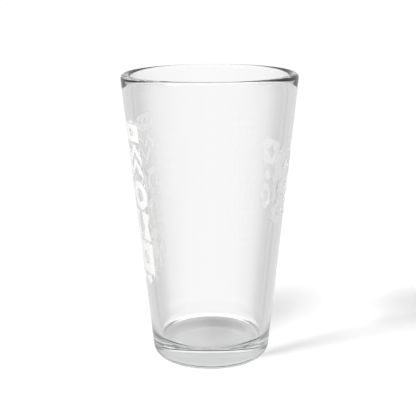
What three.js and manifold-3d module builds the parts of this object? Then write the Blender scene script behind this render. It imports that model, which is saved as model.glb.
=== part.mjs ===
// Straight-sided pint glass: one pressed glass tumbler with white ceramic-enamel decoration
// fired onto its outside, in two motifs on opposite sides.
// Frame: origin at the centre of the foot on the surface the glass stands on, +Z up the axis.
// Units are millimetres. Run with the npm packages three and manifold-3d.

import * as THREE from "three";
import { mergeVertices } from "three/addons/utils/BufferGeometryUtils.js";
import Module from "manifold-3d";

const wasm = await Module();
wasm.setup();

// ---------------------------------------------------------------- driving dimensions

const HEIGHT = 147.8; // overall
const RIM_R = 44.45; // 88.9 mm across the mouth
const LIP_R = 2.35; // half-round, fire-polished lip
const HEEL_R = 30.7; // outside radius where the heel rounds into the wall
const HEEL_H = 5.6; // height of the heel's rounding
const FOOT_R = 26.2; // the flat face that stands on the table
const WALL = 4.9; // horizontal wall thickness below the lip
const EASE_Z = 141.0; // above this the wall thins a little towards the lip
const FLOOR_EDGE_Z = 10.4; // inner floor, dished a little
const FLOOR_Z = 10.2;
const FILLET_R = 3.8; // floor to inner wall
const SEGMENTS = 72;

const INK = 0.12; // enamel thickness
const INK_GAP = 0.05; // clearance between enamel and glass meshes
const INK_REF_R = 37.5; // radius at which a motif's width is measured

const SLOPE = (RIM_R - HEEL_R) / (HEIGHT - LIP_R - HEEL_H);
const COS = 1 / Math.hypot(1, SLOPE);
const outerR = (z) => HEEL_R + SLOPE * (z - HEEL_H);
const innerR = (z) => outerR(z) - WALL;

// ---------------------------------------------------------------- materials

const glass = new THREE.MeshStandardMaterial({
  name: "clear_glass",
  color: new THREE.Color(0.95, 0.96, 0.96),
  roughness: 0.02,
  metalness: 0,
  transparent: true,
  opacity: 0.35,
  side: THREE.DoubleSide,
});
const enamel = new THREE.MeshStandardMaterial({
  name: "white_enamel",
  color: new THREE.Color(0.93, 0.93, 0.92),
  roughness: 0.35,
  metalness: 0,
});

// ---------------------------------------------------------------- helpers

const V2 = (x, y) => new THREE.Vector2(x, y);

// A profile of (radius, height) turned about +Z.
function turned(points) {
  return new THREE.LatheGeometry(points, SEGMENTS).rotateX(Math.PI / 2);
}

function solid(geometry, matrix) {
  let g = geometry.index ? geometry.toNonIndexed() : geometry.clone();
  g.deleteAttribute("normal");
  g.deleteAttribute("uv");
  if (matrix) g.applyMatrix4(matrix);
  g = mergeVertices(g, 1e-4);
  return new wasm.Manifold(
    new wasm.Mesh({
      numProp: 3,
      vertProperties: new Float32Array(g.attributes.position.array),
      triVerts: new Uint32Array(g.index.array),
    }),
  );
}

function geometryOf(manifold) {
  const m = manifold.getMesh();
  const v = new Float32Array(m.numVert * 3);
  for (let i = 0; i < m.numVert; i++)
    v.set(m.vertProperties.subarray(i * m.numProp, i * m.numProp + 3), i * 3);
  const g = new THREE.BufferGeometry();
  g.setAttribute("position", new THREE.BufferAttribute(v, 3));
  g.setIndex(new THREE.BufferAttribute(new Uint32Array(m.triVerts), 1));
  g.computeVertexNormals();
  return g;
}

// ---------------------------------------------------------------- the glass

function tumblerProfile() {
  const p = [];
  // underside: flat
  for (const k of [0, 0.33, 0.66]) p.push(V2(FOOT_R * k, 0));
  // heel: a quarter of an ellipse that ends where it is tangent to the wall
  const a = HEEL_R - FOOT_R;
  const tEnd = Math.atan(a / (HEEL_H * SLOPE));
  for (let i = 0; i <= 7; i++) {
    const t = (tEnd * i) / 7;
    p.push(V2(FOOT_R + a * Math.sin(t), HEEL_H * (1 - Math.cos(t))));
  }
  // outside wall
  for (const z of [40, 75, 110]) p.push(V2(outerR(z), z));
  // lip
  const lipZ = HEIGHT - LIP_R;
  for (let i = 0; i <= 8; i++) {
    const t = (Math.PI * i) / 8;
    p.push(V2(RIM_R - LIP_R + LIP_R * Math.cos(t), lipZ + LIP_R * Math.sin(t)));
  }
  // the wall thickens smoothly below the lip
  for (let i = 1; i <= 5; i++) {
    const s = i / 5;
    const z = lipZ + (EASE_Z - lipZ) * s;
    const ease = s * s * (3 - 2 * s);
    const thick = 2 * LIP_R + (WALL - 2 * LIP_R) * ease;
    p.push(V2(outerR(z) - thick, z));
  }
  // inside wall
  for (const z of [100, 55]) p.push(V2(innerR(z), z));
  // fillet to the floor
  const cz = FLOOR_EDGE_Z + FILLET_R;
  const cr = innerR(cz) - FILLET_R / COS;
  const tilt = Math.atan(SLOPE);
  for (let i = 0; i <= 6; i++) {
    const t = -tilt + ((-Math.PI / 2 + tilt) * i) / 6;
    p.push(V2(cr + FILLET_R * Math.cos(t), cz + FILLET_R * Math.sin(t)));
  }
  // dished floor
  for (const k of [0.66, 0.33, 0]) {
    const r = cr * k;
    p.push(V2(r, FLOOR_Z + (FLOOR_EDGE_Z - FLOOR_Z) * (r / cr) ** 2));
  }
  return p;
}

// ---------------------------------------------------------------- the enamel

// The band that all enamel is cut from: a thin skin just clear of the outside wall.
const bandLow = 30,
  bandHigh = 135;
const band = solid(
  turned([
    V2(outerR(bandLow) + INK_GAP / COS, bandLow),
    V2(outerR(bandLow) + (INK_GAP + INK) / COS, bandLow),
    V2(outerR(bandHigh) + (INK_GAP + INK) / COS, bandHigh),
    V2(outerR(bandHigh) + INK_GAP / COS, bandHigh),
    V2(outerR(bandLow) + INK_GAP / COS, bandLow),
  ]),
);

// Outlines are lists of [u, z]: u is the distance round the glass from the motif's own
// centre line, z the height. Long edges are divided so that they follow the curve.
function divided(loop, step = 3) {
  const out = [];
  loop.forEach(([u0, z0], i) => {
    const [u1, z1] = loop[(i + 1) % loop.length];
    const n = Math.max(1, Math.ceil(Math.abs(u1 - u0) / step));
    for (let k = 0; k < n; k++)
      out.push([u0 + ((u1 - u0) * k) / n, z0 + ((z1 - z0) * k) / n]);
  });
  return out;
}

const rect = (u, z, w, h) => [
  [u - w / 2, z - h / 2],
  [u + w / 2, z - h / 2],
  [u + w / 2, z + h / 2],
  [u - w / 2, z + h / 2],
];
const diamond = (u, z, w, h) => [
  [u, z - h / 2],
  [u + w / 2, z],
  [u, z + h / 2],
  [u - w / 2, z],
];
const oval = (u, z, w, h, n = 20) =>
  Array.from({ length: n }, (_, i) => {
    const t = (2 * Math.PI * i) / n;
    return [u + (w / 2) * Math.cos(t), z + (h / 2) * Math.sin(t)];
  });
// A zigzag stripe of the given thickness, centred on z.
function zigzag(u, z, w, h, teeth, thick) {
  const low = [],
    high = [];
  for (let i = 0; i <= 2 * teeth; i++) {
    const x = u - w / 2 + (w * i) / (2 * teeth);
    const y = z + (i % 2 ? h / 2 : -h / 2);
    low.push([x, y - thick / 2]);
    high.unshift([x, y + thick / 2]);
  }
  return [...low, ...high];
}

// One island of enamel on the side that faces azimuth `side` (radians).
function island(side, outline, holes = []) {
  const us = outline.map(([u]) => u);
  const middle = (Math.min(...us) + Math.max(...us)) / 2;
  const facing = side + middle / INK_REF_R;
  const flat = (loop) =>
    divided(loop).map(([u, z]) =>
      V2(outerR(z) * Math.sin((u - middle) / INK_REF_R), z),
    );
  const shape = new THREE.Shape(flat(outline));
  for (const h of holes) shape.holes.push(new THREE.Path(flat(h)));
  const prism = new THREE.ExtrudeGeometry(shape, {
    depth: 60,
    bevelEnabled: false,
    curveSegments: 4,
  });
  const out = new THREE.Vector3(Math.cos(facing), Math.sin(facing), 0);
  const along = new THREE.Vector3(-Math.sin(facing), Math.cos(facing), 0);
  const place = new THREE.Matrix4()
    .makeBasis(along, new THREE.Vector3(0, 0, 1), out)
    .setPosition(out.clone().multiplyScalar(5));
  return geometryOf(band.intersect(solid(prism, place)));
}

// ---------------------------------------------------------------- assembly

const pint = new THREE.Group();
pint.name = "pint_glass";

function add(name, geometry, material, parent = pint) {
  const mesh = new THREE.Mesh(geometry, material);
  mesh.name = name;
  parent.add(mesh);
  return mesh;
}

add("glass_body", geometryOf(solid(turned(tumblerProfile()))), glass);

// Tall motif on the -X side.
const left = new THREE.Group();
pint.add(left);
const L = Math.PI;
add(
  "print_left_top_banner",
  island(L, rect(0, 120.6, 45, 8.6), [
    diamond(-15, 120.6, 7, 5),
    diamond(-5, 120.6, 7, 5),
    diamond(5, 120.6, 7, 5),
    diamond(15, 120.6, 7, 5),
  ]),
  enamel,
  left,
);
add("print_left_zigzag_upper", island(L, zigzag(0, 110.2, 46, 6.4, 4, 3.6)), enamel, left);
add("print_left_zigzag_lower", island(L, zigzag(0, 103.0, 46, 6.4, 4, 3.6)), enamel, left);
[-17.2, 0, 17.2].forEach((u, i) =>
  add(
    "print_left_ring_" + (i + 1),
    island(L, oval(u, 89.2, 14.6, 14.6, 24), [oval(u, 89.2, 7.0, 7.0, 18)]),
    enamel,
    left,
  ),
);
[-20.5, -10.25, 0, 10.25, 20.5].forEach((u, i) =>
  add(
    "print_left_bar_" + (i + 1),
    island(L, [
      [u - 3.6, 66.4],
      [u + 3.6, 66.4],
      [u + 1.9, 73.4],
      [u + 3.6, 80.4],
      [u - 3.6, 80.4],
      [u - 1.9, 73.4],
    ]),
    enamel,
    left,
  ),
);
add(
  "print_left_lower_banner",
  island(L, rect(0, 56.6, 49, 16.4), [
    oval(-16.5, 56.6, 6, 8.5, 16),
    oval(0, 56.6, 6, 8.5, 16),
    oval(16.5, 56.6, 6, 8.5, 16),
  ]),
  enamel,
  left,
);
[-17, -8.5, 0, 8.5, 17].forEach((u, i) =>
  add(
    "print_left_diamond_" + (i + 1),
    island(L, diamond(u, 44.6, 7.2, 6.2)),
    enamel,
    left,
  ),
);

// Wide, short motif on the +X side.
const right = new THREE.Group();
pint.add(right);
const R = 0;
add(
  "print_right_banner",
  island(R, rect(0, 104.2, 50, 13.2), [
    diamond(-15, 104.2, 9, 8),
    diamond(0, 104.2, 9, 8),
    diamond(15, 104.2, 9, 8),
  ]),
  enamel,
  right,
);
[-17.2, -5.7, 5.7, 17.2].forEach((u, i) =>
  add(
    "print_right_diamond_" + (i + 1),
    island(R, diamond(u, 91.8, 9, 6.6)),
    enamel,
    right,
  ),
);
[-17.6, 0, 17.6].forEach((u, i) =>
  add(
    "print_right_ring_" + (i + 1),
    island(R, oval(u, 80.4, 13.2, 13.2, 24), [oval(u, 80.4, 6.2, 6.2, 18)]),
    enamel,
    right,
  ),
);

export default pint;
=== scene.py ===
import math
import random

import bpy
from mathutils import Euler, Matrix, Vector, noise
from mathutils.geometry import delaunay_2d_cdt


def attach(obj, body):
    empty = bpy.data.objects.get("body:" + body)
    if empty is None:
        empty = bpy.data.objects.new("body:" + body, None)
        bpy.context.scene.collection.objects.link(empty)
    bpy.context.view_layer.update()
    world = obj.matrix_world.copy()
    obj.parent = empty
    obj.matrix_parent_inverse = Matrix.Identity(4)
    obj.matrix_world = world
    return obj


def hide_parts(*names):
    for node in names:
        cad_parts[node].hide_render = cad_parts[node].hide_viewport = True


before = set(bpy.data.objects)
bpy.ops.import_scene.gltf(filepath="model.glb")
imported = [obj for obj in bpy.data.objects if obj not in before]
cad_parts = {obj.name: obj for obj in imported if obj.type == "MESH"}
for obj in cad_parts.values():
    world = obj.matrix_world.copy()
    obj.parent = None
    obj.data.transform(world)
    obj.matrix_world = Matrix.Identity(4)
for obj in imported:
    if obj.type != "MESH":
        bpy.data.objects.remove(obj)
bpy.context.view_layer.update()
MM = 0.001

# ------------------------------------------------------------------ camera
# A long lens close to the glass, looking down about 14 degrees.
cam_data = bpy.data.cameras.new("camera")
cam_data.sensor_width = 36.0
cam_data.lens = 81.28
cam_data.clip_start, cam_data.clip_end = 0.01, 60.0
cam = bpy.data.objects.new("camera", cam_data)
cam.rotation_mode = "QUATERNION"
cam.location = (-0.00122, -0.47073, 0.19887)
cam.rotation_quaternion = Euler((math.radians(90 - 14.41), 0, 0)).to_quaternion() @ Euler((0, 0, math.radians(-0.384))).to_quaternion()
bpy.context.scene.collection.objects.link(cam)
bpy.context.scene.camera = cam

# ------------------------------------------------------------------ looks, tuned
FLOOR_TONE, FLOOR_WHITE = 0.24, 1.03  # the floor's response to light, and what it adds up to outside the shadow
FLOOR_SKY = 1.10  # light on the floor from the studio
# painted shade: the grey of the patch under the foot
CONTACT_PAINTED_SHADE = 0.42
BACK_PAINTED_GLOW = (0.5, 0.05)  # painted light: a glow on the ink's inward face, left and right; more on the left, whose inward face looks away from the key lamp
SHADE_WALL = [(0.0, 0.99), (0.45, 0.98), (0.62, 0.75), (0.8, 0.45), (1.0, 0.4)]
SHADE_SIDE = 0.5  # how much lighter the far margin of the shadow is
SHADE_ENDS = [(0.0, 0.55), (0.3, 0.2), (0.45, 0.0), (0.62, 0.1), (0.72, 0.6), (0.85, 0.85)]  # and how much lighter it is up the glass
KEY_DIR, KEY_AWAY, KEY_SIZE, KEY_ENERGY = (-0.788 * 0.707, -0.616 * 0.707, 0.707), 0.8, 0.2, 3.0
SUN_AT, SUN_R, SUN_POWER = (-0.7976 * 0.49, -0.6032 * 0.49, 0.55), 0.075, 90.0  # the floor's own lamp
SHADE_SHIFT = (-0.616 * 0.007, 0.788 * 0.007)
# (elevation, [(degrees from straight behind the glass, brightness), ...])
STUDIO = [
    (-80, [(0, 0.9), (180, 0.9)]),
    (-60, [(0, 1.15), (180, 1.15)]),
    (-38, [(0, 0.92), (40, 0.95), (90, 1.15), (140, 1.05), (180, 0.85)]),
    (-25, [(0, 0.97), (5, 0.95), (10, 0.88), (16, 0.72), (24, 0.66), (38, 0.72), (60, 0.55), (95, 0.68), (145, 0.8), (180, 0.8)]),
    (-5, [(0, 0.97), (5, 0.95), (10, 0.88), (16, 0.72), (24, 0.66), (38, 0.72), (60, 0.55), (95, 0.68), (145, 0.8), (180, 0.8)]),
    (6, [(0, 0.75), (60, 0.6), (110, 0.65), (180, 0.8)]),
    (30, [(0, 0.65), (90, 0.7), (180, 0.75)]),
    (60, [(0, 1.5), (180, 1.5)]),
]

# ------------------------------------------------------------------ dimensions, in mm, as in the CAD
HEIGHT, RIM_R, LIP_R = 147.8, 44.45, 2.35
HEEL_R, HEEL_H, FOOT_R = 30.7, 5.6, 26.2
WALL, EASE_Z = 4.9, 141.0
FLOOR_EDGE_Z, FLOOR_Z, FILLET_R = 10.4, 10.2, 3.8
INK_REF_R = 37.5
SLOPE = (RIM_R - HEEL_R) / (HEIGHT - LIP_R - HEEL_H)
COS = 1 / math.hypot(1, SLOPE)


def outer_r(z):
    return HEEL_R + SLOPE * (z - HEEL_H)


# ------------------------------------------------------------------ glass body
def tumbler_profile():
    p = []
    for i in range(12):
        p.append((FOOT_R * i / 12, 0.0))
    # the heel: a quarter of an ellipse that ends where it meets the wall
    a = HEEL_R - FOOT_R
    t_end = math.atan(a / (HEEL_H * SLOPE))
    for i in range(25):
        t = t_end * i / 24
        p.append((FOOT_R + a * math.sin(t), HEEL_H * (1 - math.cos(t))))
    lip_z = HEIGHT - LIP_R
    for i in range(1, 30):
        z = HEEL_H + (lip_z - HEEL_H) * i / 30
        p.append((outer_r(z), z))
    for i in range(29):
        t = math.pi * i / 28
        p.append((RIM_R - LIP_R + LIP_R * math.cos(t), lip_z + LIP_R * math.sin(t)))
    for i in range(1, 13):
        s = i / 12
        z = lip_z + (EASE_Z - lip_z) * s
        e = s * s * (3 - 2 * s)
        p.append((outer_r(z) - (2 * LIP_R + (WALL - 2 * LIP_R) * e), z))
    cz = FLOOR_EDGE_Z + FILLET_R
    tilt = math.atan(SLOPE)
    top = cz - FILLET_R * math.sin(tilt)
    for i in range(1, 26):
        z = EASE_Z + (top - EASE_Z) * i / 26
        p.append((outer_r(z) - WALL, z))
    cr = outer_r(cz) - WALL - FILLET_R / COS
    for i in range(21):
        t = -tilt + (-math.pi / 2 + tilt) * i / 20
        p.append((cr + FILLET_R * math.cos(t), cz + FILLET_R * math.sin(t)))
    for i in range(1, 13):
        r = cr * (1 - i / 12)
        p.append((r, FLOOR_Z + (FLOOR_EDGE_Z - FLOOR_Z) * (r / cr) ** 2))
    return p


def turned(name, profile, segments):
    """A closed surface turned from a profile whose two ends are on the axis."""
    verts, faces = [], []
    rings = profile[1:-1]
    cs = [(math.cos(2 * math.pi * k / segments), math.sin(2 * math.pi * k / segments)) for k in range(segments)]
    for r, z in rings:
        verts += [(r * c * MM, r * s * MM, z * MM) for c, s in cs]
    first = len(verts)
    verts.append((0, 0, profile[0][1] * MM))
    last = len(verts)
    verts.append((0, 0, profile[-1][1] * MM))
    n = segments
    for k in range(n):
        faces.append((first, (k + 1) % n, k))
    for i in range(len(rings) - 1):
        a, b = i * n, (i + 1) * n
        for k in range(n):
            j = (k + 1) % n
            faces.append((a + k, a + j, b + j, b + k))
    a = (len(rings) - 1) * n
    for k in range(n):
        faces.append((last, a + k, a + (k + 1) % n))
    mesh = bpy.data.meshes.new(name)
    mesh.from_pydata(verts, [], faces)
    mesh.validate()
    mesh.update()
    mesh.polygons.foreach_set("use_smooth", [True] * len(mesh.polygons))
    ob = bpy.data.objects.new(name, mesh)
    bpy.context.scene.collection.objects.link(ob)
    return ob


glass = turned("glass", tumbler_profile(), 360)

# ------------------------------------------------------------------ node helpers
def new_material(name):
    m = bpy.data.materials.new(name)
    m.use_nodes = True
    nt = m.node_tree
    nt.nodes.clear()
    out = nt.nodes.new("ShaderNodeOutputMaterial")
    return m, nt, out


def node(nt, kind, **values):
    n = nt.nodes.new(kind)
    for key, value in values.items():
        if key.startswith("in_"):
            n.inputs[key[3:].replace("_", " ")].default_value = value
        else:
            setattr(n, key, value)
    return n


def ramp(nt, source, stops):
    """A colour ramp over source with (position, grey) stops."""
    n = nt.nodes.new("ShaderNodeValToRGB")
    els = n.color_ramp.elements
    while len(els) > 1:
        els.remove(els[-1])
    els[0].position, els[0].color = stops[0][0], (stops[0][1],) * 3 + (1,)
    for pos, v in stops[1:]:
        e = els.new(pos)
        e.color = (v, v, v, 1)
    nt.links.new(source, n.inputs["Fac"])
    return n


# ------------------------------------------------------------------ clear glass
def clear_glass():
    m, nt, out = new_material("clear_glass")
    b = node(nt, "ShaderNodeBsdfPrincipled")
    b.inputs["Base Color"].default_value = (1.0, 1.0, 1.0, 1)
    b.inputs["Transmission Weight"].default_value = 1.0
    b.inputs["IOR"].default_value = 1.52
    tc = node(nt, "ShaderNodeTexCoord")
    # long, shallow waves left by pressing and fire-polishing, drawn out up the wall
    mp = node(nt, "ShaderNodeMapping")
    mp.inputs["Scale"].default_value = (1.0, 1.0, 0.35)
    nt.links.new(tc.outputs["Object"], mp.inputs["Vector"])
    wave = node(nt, "ShaderNodeTexNoise", in_Scale=55.0, in_Detail=1.0, in_Roughness=0.4)
    nt.links.new(mp.outputs["Vector"], wave.inputs["Vector"])
    bump = node(nt, "ShaderNodeBump", in_Strength=0.05, in_Distance=0.0004)
    nt.links.new(wave.outputs["Fac"], bump.inputs["Height"])
    nt.links.new(bump.outputs["Normal"], b.inputs["Normal"])
    # handling haze: a trace of roughness that comes and goes
    haze = node(nt, "ShaderNodeTexNoise", in_Scale=28.0, in_Detail=4.0, in_Roughness=0.6)
    nt.links.new(tc.outputs["Object"], haze.inputs["Vector"])
    hz = node(nt, "ShaderNodeMapRange")
    hz.inputs["From Min"].default_value = 0.45
    hz.inputs["From Max"].default_value = 0.75
    hz.inputs["To Min"].default_value = 0.0
    hz.inputs["To Max"].default_value = 0.02
    nt.links.new(haze.outputs["Fac"], hz.inputs["Value"])
    nt.links.new(hz.outputs["Result"], b.inputs["Roughness"])
    vol = node(nt, "ShaderNodeVolumeAbsorption")
    vol.inputs["Color"].default_value = (0.86, 0.90, 0.89, 1)
    vol.inputs["Density"].default_value = 6.0
    nt.links.new(b.outputs["BSDF"], out.inputs["Surface"])
    nt.links.new(vol.outputs["Volume"], out.inputs["Volume"])
    return m


glass.data.materials.append(clear_glass())
glass.visible_shadow = False
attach(glass, "root")
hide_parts("glass_body")


# ------------------------------------------------------------------ white enamel
def white_enamel(name, glow):
    m, nt, out = new_material(name)
    b = node(nt, "ShaderNodeBsdfPrincipled")
    b.inputs["Specular IOR Level"].default_value = 0.5
    tc = node(nt, "ShaderNodeTexCoord")
    tone = node(nt, "ShaderNodeTexNoise", in_Scale=320.0, in_Detail=3.0, in_Roughness=0.6)
    nt.links.new(tc.outputs["Object"], tone.inputs["Vector"])
    tint = node(nt, "ShaderNodeMix", data_type="RGBA")
    tint.inputs[6].default_value = (0.86, 0.86, 0.85, 1)
    tint.inputs[7].default_value = (0.93, 0.93, 0.925, 1)
    nt.links.new(tone.outputs["Fac"], tint.inputs[0])
    # pinholes where the ink didn't take
    pin = node(nt, "ShaderNodeTexVoronoi", in_Scale=700.0)
    nt.links.new(tc.outputs["Object"], pin.inputs["Vector"])
    spots = ramp(nt, pin.outputs["Distance"], [(0.0, 0.72), (0.07, 0.78), (0.12, 1.0)])
    mul = node(nt, "ShaderNodeMix", data_type="RGBA", blend_type="MULTIPLY")
    mul.inputs[0].default_value = 1.0
    nt.links.new(tint.outputs[2], mul.inputs[6])
    nt.links.new(spots.outputs["Color"], mul.inputs[7])
    nt.links.new(mul.outputs[2], b.inputs["Base Color"])
    rough = node(nt, "ShaderNodeMapRange")
    rough.inputs["To Min"].default_value = 0.28
    rough.inputs["To Max"].default_value = 0.48
    nt.links.new(tone.outputs["Fac"], rough.inputs["Value"])
    nt.links.new(rough.outputs["Result"], b.inputs["Roughness"])
    # the screen's mesh leaves a faint weave in the ink
    wa = node(nt, "ShaderNodeTexWave", in_Scale=900.0, in_Distortion=0.6, in_Detail=1.0, bands_direction="Z")
    wb = node(nt, "ShaderNodeTexWave", in_Scale=900.0, in_Distortion=0.6, in_Detail=1.0, bands_direction="Y")
    nt.links.new(tc.outputs["Object"], wa.inputs["Vector"])
    nt.links.new(tc.outputs["Object"], wb.inputs["Vector"])
    weave = node(nt, "ShaderNodeMath", operation="MULTIPLY")
    nt.links.new(wa.outputs["Fac"], weave.inputs[0])
    nt.links.new(wb.outputs["Fac"], weave.inputs[1])
    total = node(nt, "ShaderNodeMath", operation="ADD")
    nt.links.new(weave.outputs[0], total.inputs[0])
    nt.links.new(tone.outputs["Fac"], total.inputs[1])
    bump = node(nt, "ShaderNodeBump", in_Strength=0.25, in_Distance=0.00004)
    nt.links.new(total.outputs[0], bump.inputs["Height"])
    nt.links.new(bump.outputs["Normal"], b.inputs["Normal"])
    # emission: painted light, none on the outer faces, a glow on the inward ones
    nt.links.new(mul.outputs[2], b.inputs["Emission Color"])
    b.inputs["Emission Strength"].default_value = glow
    nt.links.new(b.outputs["BSDF"], out.inputs["Surface"])
    return m


# The inward faces glow with painted light, which brightens the inward side of the ink where it sits in the glass and
# gets little light. Both values were picked.
ENAMEL = white_enamel("white_enamel", 0.0)
ENAMEL_BACK_PAINTED_GLOW = [white_enamel(f"white_enamel_back_painted_glow_{k}", glow) for k, glow in zip(("left", "right"), BACK_PAINTED_GLOW)]
INK_OUT, INK_IN = 0.06, 0.05  # how far the ink stands proud of the glass, and keys into it


def rect(u, z, w, h):
    return [(u - w / 2, z - h / 2), (u + w / 2, z - h / 2), (u + w / 2, z + h / 2), (u - w / 2, z + h / 2)]


def diamond(u, z, w, h):
    return [(u, z - h / 2), (u + w / 2, z), (u, z + h / 2), (u - w / 2, z)]


def oval(u, z, w, h, n=72):
    return [(u + w / 2 * math.cos(2 * math.pi * i / n), z + h / 2 * math.sin(2 * math.pi * i / n)) for i in range(n)]


def zigzag(u, z, w, h, teeth, thick):
    low, high = [], []
    for i in range(2 * teeth + 1):
        x = u - w / 2 + w * i / (2 * teeth)
        y = z + (h / 2 if i % 2 else -h / 2)
        low.append((x, y - thick / 2))
        high.insert(0, (x, y + thick / 2))
    return low + high


def inside(loop, u, z):
    hit = False
    for (u0, z0), (u1, z1) in zip(loop, loop[1:] + loop[:1]):
        if (z0 > z) != (z1 > z) and u < u0 + (u1 - u0) * (z - z0) / (z1 - z0):
            hit = not hit
    return hit


def near(loop, u, z, gap):
    for (u0, z0), (u1, z1) in zip(loop, loop[1:] + loop[:1]):
        du, dz = u1 - u0, z1 - z0
        t = max(0.0, min(1.0, ((u - u0) * du + (z - z0) * dz) / (du * du + dz * dz)))
        if math.hypot(u - u0 - t * du, z - z0 - t * dz) < gap:
            return True
    return False


def soft_loop(loop, corner=0.35, step=0.5):
    """Rounds a loop's corners a little, as ink does, and divides its edges evenly."""
    out = []
    n = len(loop)
    for i in range(n):
        a, b, c = Vector(loop[i - 1]), Vector(loop[i]), Vector(loop[(i + 1) % n])
        la, lc = (a - b).length, (c - b).length
        cut = min(corner, la * 0.3, lc * 0.3)
        p, q = b + (a - b) / la * cut, b + (c - b) / lc * cut
        for t in (0.0, 0.33, 0.67, 1.0):
            out.append(tuple((1 - t) ** 2 * p + 2 * t * (1 - t) * b + t * t * q))
    fine = []
    for (u0, z0), (u1, z1) in zip(out, out[1:] + out[:1]):
        k = max(1, math.ceil(math.hypot(u1 - u0, z1 - z0) / step))
        fine += [(u0 + (u1 - u0) * j / k, z0 + (z1 - z0) * j / k) for j in range(k)]
    # the edge of a screen print wanders by a few hundredths of a millimetre
    result = []
    for u, z in fine:
        w = noise.noise_vector(Vector((u * 1.7, z * 1.7, 3.1)))
        result.append((u + 0.045 * w.x, z + 0.045 * w.y))
    return result


def enamel_piece(name, side, outline, holes=()):
    """A patch of ink bent round the glass. side is the azimuth of the motif's centre line."""
    loops = [soft_loop(outline)] + [soft_loop(h) for h in holes]
    pts, edges = [], []
    for loop in loops:
        base = len(pts)
        pts += loop
        edges += [(base + i, base + (i + 1) % len(loop)) for i in range(len(loop))]
    us = [u for u, _ in loops[0]]
    zs = [z for _, z in loops[0]]
    pitch = 1.5
    u = min(us) + 0.37
    row = 0
    while u < max(us):
        z = min(zs) + (0.4 if row % 2 else 0.4 + pitch / 2)
        while z < max(zs):
            if inside(loops[0], u, z) and not any(inside(h, u, z) for h in loops[1:]):
                if not any(near(lp, u, z, 0.5) for lp in loops):
                    pts.append((u, z))
            z += pitch
        u += pitch * 0.87
        row += 1
    v2, _, tris, _, _, _ = delaunay_2d_cdt([Vector(p) for p in pts], edges, [], 0, 1e-6)
    uv = [(v.x, v.y) for v in v2]

    def inked(t):
        cu, cz = (sum(uv[i][k] for i in t) / 3 for k in (0, 1))
        return inside(loops[0], cu, cz) and not any(inside(h, cu, cz) for h in loops[1:])

    tris = [list(t) for t in tris if inked(t)]

    def place(u, z, off):
        th = side + u / INK_REF_R
        r = outer_r(z) + off * COS
        return (r * math.cos(th) * MM, r * math.sin(th) * MM, (z - off * SLOPE * COS) * MM)

    n = len(uv)
    verts = [place(a, b, INK_OUT) for a, b in uv] + [place(a, b, -INK_IN) for a, b in uv]
    faces, count = [], {}
    for t in tris:
        (x0, y0), (x1, y1), (x2, y2) = (uv[i] for i in t)
        if (x1 - x0) * (y2 - y0) - (x2 - x0) * (y1 - y0) < 0:
            t.reverse()
        faces.append(tuple(t))
        faces.append(tuple(n + i for i in reversed(t)))
        for a, b in zip(t, t[1:] + t[:1]):
            count[(a, b)] = True
    for a, b in count:
        if (b, a) not in count:
            faces.append((b, a, n + a, n + b))
    mesh = bpy.data.meshes.new(name)
    mesh.from_pydata(verts, [], faces)
    mesh.validate()
    mesh.update()
    mesh.materials.append(ENAMEL)
    # the inward faces take the enamel that glows with painted light
    mesh.materials.append(ENAMEL_BACK_PAINTED_GLOW[0 if side > 1 else 1])
    for f in mesh.polygons:
        if all(i >= n for i in f.vertices):
            f.material_index = 1
    ob = bpy.data.objects.new(name, mesh)
    bpy.context.scene.collection.objects.link(ob)
    return ob


LEFT, RIGHT = math.pi, 0.0
PATCHES = [("print_left_top_banner", LEFT, rect(0, 120.6, 45, 8.6), [diamond(x, 120.6, 7, 5) for x in (-15, -5, 5, 15)]),
           ("print_left_zigzag_upper", LEFT, zigzag(0, 110.2, 46, 6.4, 4, 3.6), []),
           ("print_left_zigzag_lower", LEFT, zigzag(0, 103.0, 46, 6.4, 4, 3.6), [])]
for i, x in enumerate((-17.2, 0, 17.2)):
    PATCHES.append((f"print_left_ring_{i + 1}", LEFT, oval(x, 89.2, 14.6, 14.6), [oval(x, 89.2, 7.0, 7.0, 48)]))
for i, x in enumerate((-20.5, -10.25, 0, 10.25, 20.5)):
    PATCHES.append((f"print_left_bar_{i + 1}", LEFT,
                    [(x - 3.6, 66.4), (x + 3.6, 66.4), (x + 1.9, 73.4), (x + 3.6, 80.4), (x - 3.6, 80.4), (x - 1.9, 73.4)], []))
PATCHES.append(("print_left_lower_banner", LEFT, rect(0, 56.6, 49, 16.4), [oval(x, 56.6, 6, 8.5, 48) for x in (-16.5, 0, 16.5)]))
for i, x in enumerate((-17, -8.5, 0, 8.5, 17)):
    PATCHES.append((f"print_left_diamond_{i + 1}", LEFT, diamond(x, 44.6, 7.2, 6.2), []))
PATCHES.append(("print_right_banner", RIGHT, rect(0, 104.2, 50, 13.2), [diamond(x, 104.2, 9, 8) for x in (-15, 0, 15)]))
for i, x in enumerate((-17.2, -5.7, 5.7, 17.2)):
    PATCHES.append((f"print_right_diamond_{i + 1}", RIGHT, diamond(x, 91.8, 9, 6.6), []))
for i, x in enumerate((-17.6, 0, 17.6)):
    PATCHES.append((f"print_right_ring_{i + 1}", RIGHT, oval(x, 80.4, 13.2, 13.2), [oval(x, 80.4, 6.2, 6.2, 48)]))

for cad, side, outline, holes in PATCHES:
    ob = enamel_piece(cad.replace("print_", "enamel_"), side, outline, holes)
    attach(ob, "root")
    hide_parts(cad)

# ------------------------------------------------------------------ floor
def disc(name, radii, segments, z):
    verts = [(0, 0, z)]
    for r in radii:
        verts += [(r * math.cos(2 * math.pi * k / segments), r * math.sin(2 * math.pi * k / segments), z) for k in range(segments)]
    faces = [(0, 1 + k, 1 + (k + 1) % segments) for k in range(segments)]
    for i in range(len(radii) - 1):
        a, b = 1 + i * segments, 1 + (i + 1) * segments
        faces += [(a + k, b + k, b + (k + 1) % segments, a + (k + 1) % segments) for k in range(segments)]
    mesh = bpy.data.meshes.new(name)
    mesh.from_pydata(verts, [], faces)
    mesh.update()
    ob = bpy.data.objects.new(name, mesh)
    bpy.context.scene.collection.objects.link(ob)
    return ob


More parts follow.
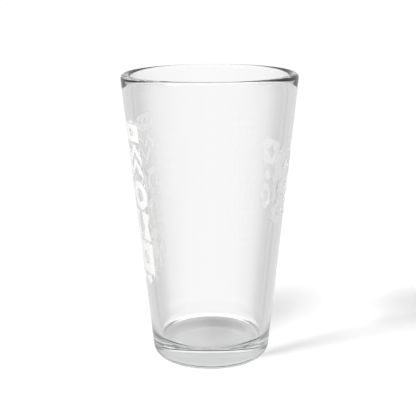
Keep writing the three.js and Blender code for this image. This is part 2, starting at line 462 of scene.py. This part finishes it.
# A white sweep. The glass itself looks past it to the studio all round (the world below), as in the picture.
floor = disc("floor", (0.3, 1.0, 3.0, 9.0, 30.0), 96, -0.0001)
fm, fnt, fout = new_material("floor_white")
ftc = node(fnt, "ShaderNodeTexCoord")
flen = node(fnt, "ShaderNodeVectorMath", operation="LENGTH")
fnt.links.new(ftc.outputs["Object"], flen.inputs[0])
fd = node(fnt, "ShaderNodeBsdfDiffuse")
fade = ramp(fnt, flen.outputs["Value"], [(0.3, FLOOR_TONE), (0.6, 0.0)])
fnt.links.new(fade.outputs["Color"], fd.inputs["Color"])


def fmath(op, a, b):
    n = node(fnt, "ShaderNodeMath", operation=op)
    for i, v in enumerate((a, b)):
        if isinstance(v, (int, float)):
            n.inputs[i].default_value = v
        else:
            fnt.links.new(v, n.inputs[i])
    return n.outputs[0]


# the glow tops up what the floor's lamp and the studio give, so the floor is one even white outside the shadow
fgap = node(fnt, "ShaderNodeVectorMath", operation="DISTANCE")
fnt.links.new(ftc.outputs["Object"], fgap.inputs[0])
fgap.inputs[1].default_value = SUN_AT
lit = fmath("DIVIDE", SUN_POWER * SUN_AT[2] / (4 * math.pi ** 2), fmath("POWER", fgap.outputs["Value"], 3.0))
lit = fmath("MULTIPLY", fmath("ADD", lit, FLOOR_SKY), fade.outputs["Color"])
fe = node(fnt, "ShaderNodeEmission")
fnt.links.new(fmath("SUBTRACT", FLOOR_WHITE, lit), fe.inputs["Strength"])
fsum = node(fnt, "ShaderNodeAddShader")
fnt.links.new(fd.outputs["BSDF"], fsum.inputs[0])
fnt.links.new(fe.outputs["Emission"], fsum.inputs[1])
fnt.links.new(fsum.outputs[0], fout.inputs["Surface"])
floor.data.materials.append(fm)
floor.visible_transmission = False
floor.visible_glossy = False
floor.visible_diffuse = False

# painted shade: a grey patch of floor under the foot, darker than the white floor, standing for ground in the glass's
# shade; the key lamp and the studio light it, and only the glass sees it
contact = disc("floor_contact_painted_shade", (0.004, 0.008, 0.012, 0.016, 0.02, 0.024, 0.028, 0.031), 96, -0.00005)
cm, cnt, cout = new_material("floor_contact_painted_shade")
cd = node(cnt, "ShaderNodeBsdfDiffuse")
cd.inputs["Color"].default_value = (CONTACT_PAINTED_SHADE,) * 3 + (1,)
cnt.links.new(cd.outputs["BSDF"], cout.inputs["Surface"])
contact.data.materials.append(cm)
contact.visible_camera = contact.visible_shadow = contact.visible_diffuse = False


# ------------------------------------------------------------------ the glass's shadow
# Light goes through the glass itself unhindered; this unseen shell holds back what a real one bends away, most of it
# where the wall is seen edge-on, so the shadow has dark margins and a bright middle.
def shade(name):
    m, nt, out = new_material(name)
    lw = node(nt, "ShaderNodeLayerWeight")
    lw.inputs["Blend"].default_value = 0.5
    r = ramp(nt, lw.outputs["Facing"], SHADE_WALL)
    tc = node(nt, "ShaderNodeTexCoord")
    across = node(nt, "ShaderNodeVectorMath", operation="DOT_PRODUCT")
    nt.links.new(tc.outputs["Object"], across.inputs[0])
    across.inputs[1].default_value = (-KEY_DIR[1] / KEY_DIR[2], KEY_DIR[0] / KEY_DIR[2], 0.0)
    lift = node(nt, "ShaderNodeMapRange")
    for key, v in (("From Min", -0.03), ("From Max", 0.03), ("To Min", SHADE_SIDE), ("To Max", 0.0)):
        lift.inputs[key].default_value = v
    nt.links.new(across.outputs["Value"], lift.inputs["Value"])
    # and it is lighter close to the foot and near the lip, where the light is bent in from all sides
    xyz = node(nt, "ShaderNodeSeparateXYZ")
    nt.links.new(tc.outputs["Object"], xyz.inputs[0])
    tall = node(nt, "ShaderNodeMath", operation="DIVIDE")
    nt.links.new(xyz.outputs["Z"], tall.inputs[0])
    tall.inputs[1].default_value = HEIGHT * MM
    up = ramp(nt, tall.outputs[0], SHADE_ENDS)
    both = node(nt, "ShaderNodeMath", operation="ADD", use_clamp=True)
    nt.links.new(lift.outputs["Result"], both.inputs[0])
    nt.links.new(up.outputs["Color"], both.inputs[1])
    mix = node(nt, "ShaderNodeMix", data_type="RGBA")
    mix.inputs[7].default_value = (1, 1, 1, 1)
    nt.links.new(both.outputs[0], mix.inputs[0])
    nt.links.new(r.outputs["Color"], mix.inputs[6])
    t = node(nt, "ShaderNodeBsdfTransparent")
    nt.links.new(mix.outputs[2], t.inputs["Color"])
    nt.links.new(t.outputs["BSDF"], out.inputs["Surface"])
    return m


def shell(name, points, material):
    """An open surface turned from (radius, height) points, seen by shadow rays only."""
    n = 120
    sx, sy = SHADE_SHIFT
    verts = [(r * math.cos(2 * math.pi * k / n) * MM + sx, r * math.sin(2 * math.pi * k / n) * MM + sy, z * MM) for r, z in points for k in range(n)]
    faces = [(i * n + k, i * n + (k + 1) % n, (i + 1) * n + (k + 1) % n, (i + 1) * n + k) for i in range(len(points) - 1) for k in range(n)]
    mesh = bpy.data.meshes.new(name)
    mesh.from_pydata(verts, [], faces)
    mesh.update()
    mesh.polygons.foreach_set("use_smooth", [True] * len(mesh.polygons))
    mesh.materials.append(material)
    ob = bpy.data.objects.new(name, mesh)
    bpy.context.scene.collection.objects.link(ob)
    ob.visible_camera = ob.visible_diffuse = ob.visible_glossy = ob.visible_transmission = False
    return ob


shade_wall = shell("shade_wall", [(outer_r(z), z) for z in (3, 30, 60, 90, 120, 146)], shade("shade_wall"))

# ------------------------------------------------------------------ light
# A soft lamp high on the left in front. The floor has a stronger one of its own, so that the shadow reads on white.
def lamp(name, energy):
    data = bpy.data.lights.new(name, "AREA")
    data.shape = "DISK"
    data.size = KEY_SIZE
    data.energy = energy
    ob = bpy.data.objects.new(name, data)
    aim = Vector((0.0, 0.0, 0.07))
    ob.location = aim + Vector(KEY_DIR).normalized() * KEY_AWAY
    ob.rotation_mode = "QUATERNION"
    ob.rotation_quaternion = (aim - ob.location).to_track_quat("-Z", "Y")
    ob.visible_camera = ob.visible_transmission = False
    bpy.context.scene.collection.objects.link(ob)
    return ob


key = lamp("key", KEY_ENERGY)
sun_data = bpy.data.lights.new("key_floor", "POINT")
sun_data.shadow_soft_size = SUN_R
sun_data.energy = SUN_POWER
key_floor = bpy.data.objects.new("key_floor", sun_data)
key_floor.location = SUN_AT
key_floor.visible_camera = key_floor.visible_transmission = key_floor.visible_glossy = False
bpy.context.scene.collection.objects.link(key_floor)
only_floor = bpy.data.collections.new("only_floor")
only_floor.objects.link(floor)
key_floor.light_linking.receiver_collection = only_floor

# The studio: bright behind and in front, greyer to the sides and above the horizon, bright overhead and underfoot.
world = bpy.data.worlds.new("world")
bpy.context.scene.world = world
world.use_nodes = True
wnt = world.node_tree
wnt.nodes.clear()
wout = wnt.nodes.new("ShaderNodeOutputWorld")


def wmath(op, a, b=None):
    n = node(wnt, "ShaderNodeMath", operation=op)
    for i, v in enumerate((a, b)):
        if v is None:
            continue
        if isinstance(v, (int, float)):
            n.inputs[i].default_value = v
        else:
            wnt.links.new(v, n.inputs[i])
    return n.outputs[0]


wtc = node(wnt, "ShaderNodeTexCoord")
wxyz = node(wnt, "ShaderNodeSeparateXYZ")
wnt.links.new(wtc.outputs["Generated"], wxyz.inputs[0])
X, Y, Z = (wxyz.outputs[i] for i in range(3))
turn = wmath("DIVIDE", wmath("ABSOLUTE", wmath("ARCTAN2", X, Y)), math.pi)  # 0 behind the glass, 1 behind the camera
rise = wmath("ADD", wmath("DIVIDE", wmath("ARCSINE", Z), math.pi), 0.5)  # 0 straight down, 1 straight up


def band(stops):
    r = ramp(wnt, turn, [(a / 180, v / 2) for a, v in stops])
    r.color_ramp.interpolation = "LINEAR"
    return r.outputs["Color"]


def blend(levels):
    """Joins horizontal bands, each given at one elevation, by linear steps in elevation."""
    colour = band(levels[0][1])
    for (e0, _), (e1, stops) in zip(levels, levels[1:]):
        mr = node(wnt, "ShaderNodeMapRange")
        mr.inputs["From Min"].default_value = e0 / 180 + 0.5
        mr.inputs["From Max"].default_value = e1 / 180 + 0.5
        wnt.links.new(rise, mr.inputs["Value"])
        mix = node(wnt, "ShaderNodeMix", data_type="RGBA")
        wnt.links.new(mr.outputs["Result"], mix.inputs[0])
        wnt.links.new(colour, mix.inputs[6])
        wnt.links.new(band(stops), mix.inputs[7])
        colour = mix.outputs[2]
    return colour


studio = node(wnt, "ShaderNodeBackground")
wnt.links.new(blend(STUDIO), studio.inputs["Color"])
studio.inputs["Strength"].default_value = 2.0
plain = node(wnt, "ShaderNodeBackground")
plain.inputs["Color"].default_value = (1, 1, 1, 1)
plain.inputs["Strength"].default_value = 1.0
path = node(wnt, "ShaderNodeLightPath")
pick = node(wnt, "ShaderNodeMixShader")
wnt.links.new(path.outputs["Is Camera Ray"], pick.inputs["Fac"])
wnt.links.new(studio.outputs["Background"], pick.inputs[1])
wnt.links.new(plain.outputs["Background"], pick.inputs[2])
wnt.links.new(pick.outputs[0], wout.inputs["Surface"])

bpy.context.scene.view_settings.view_transform = "Standard"
bpy.context.scene.view_settings.look = "None"
bpy.context.scene.cycles.caustics_refractive = True
bpy.context.scene.cycles.caustics_reflective = False
# the low limit on reflections isn't physical: it is what keeps the lines at the heel dark
bpy.context.scene.cycles.max_bounces = 32
bpy.context.scene.cycles.transmission_bounces = 32
bpy.context.scene.cycles.glossy_bounces = 5
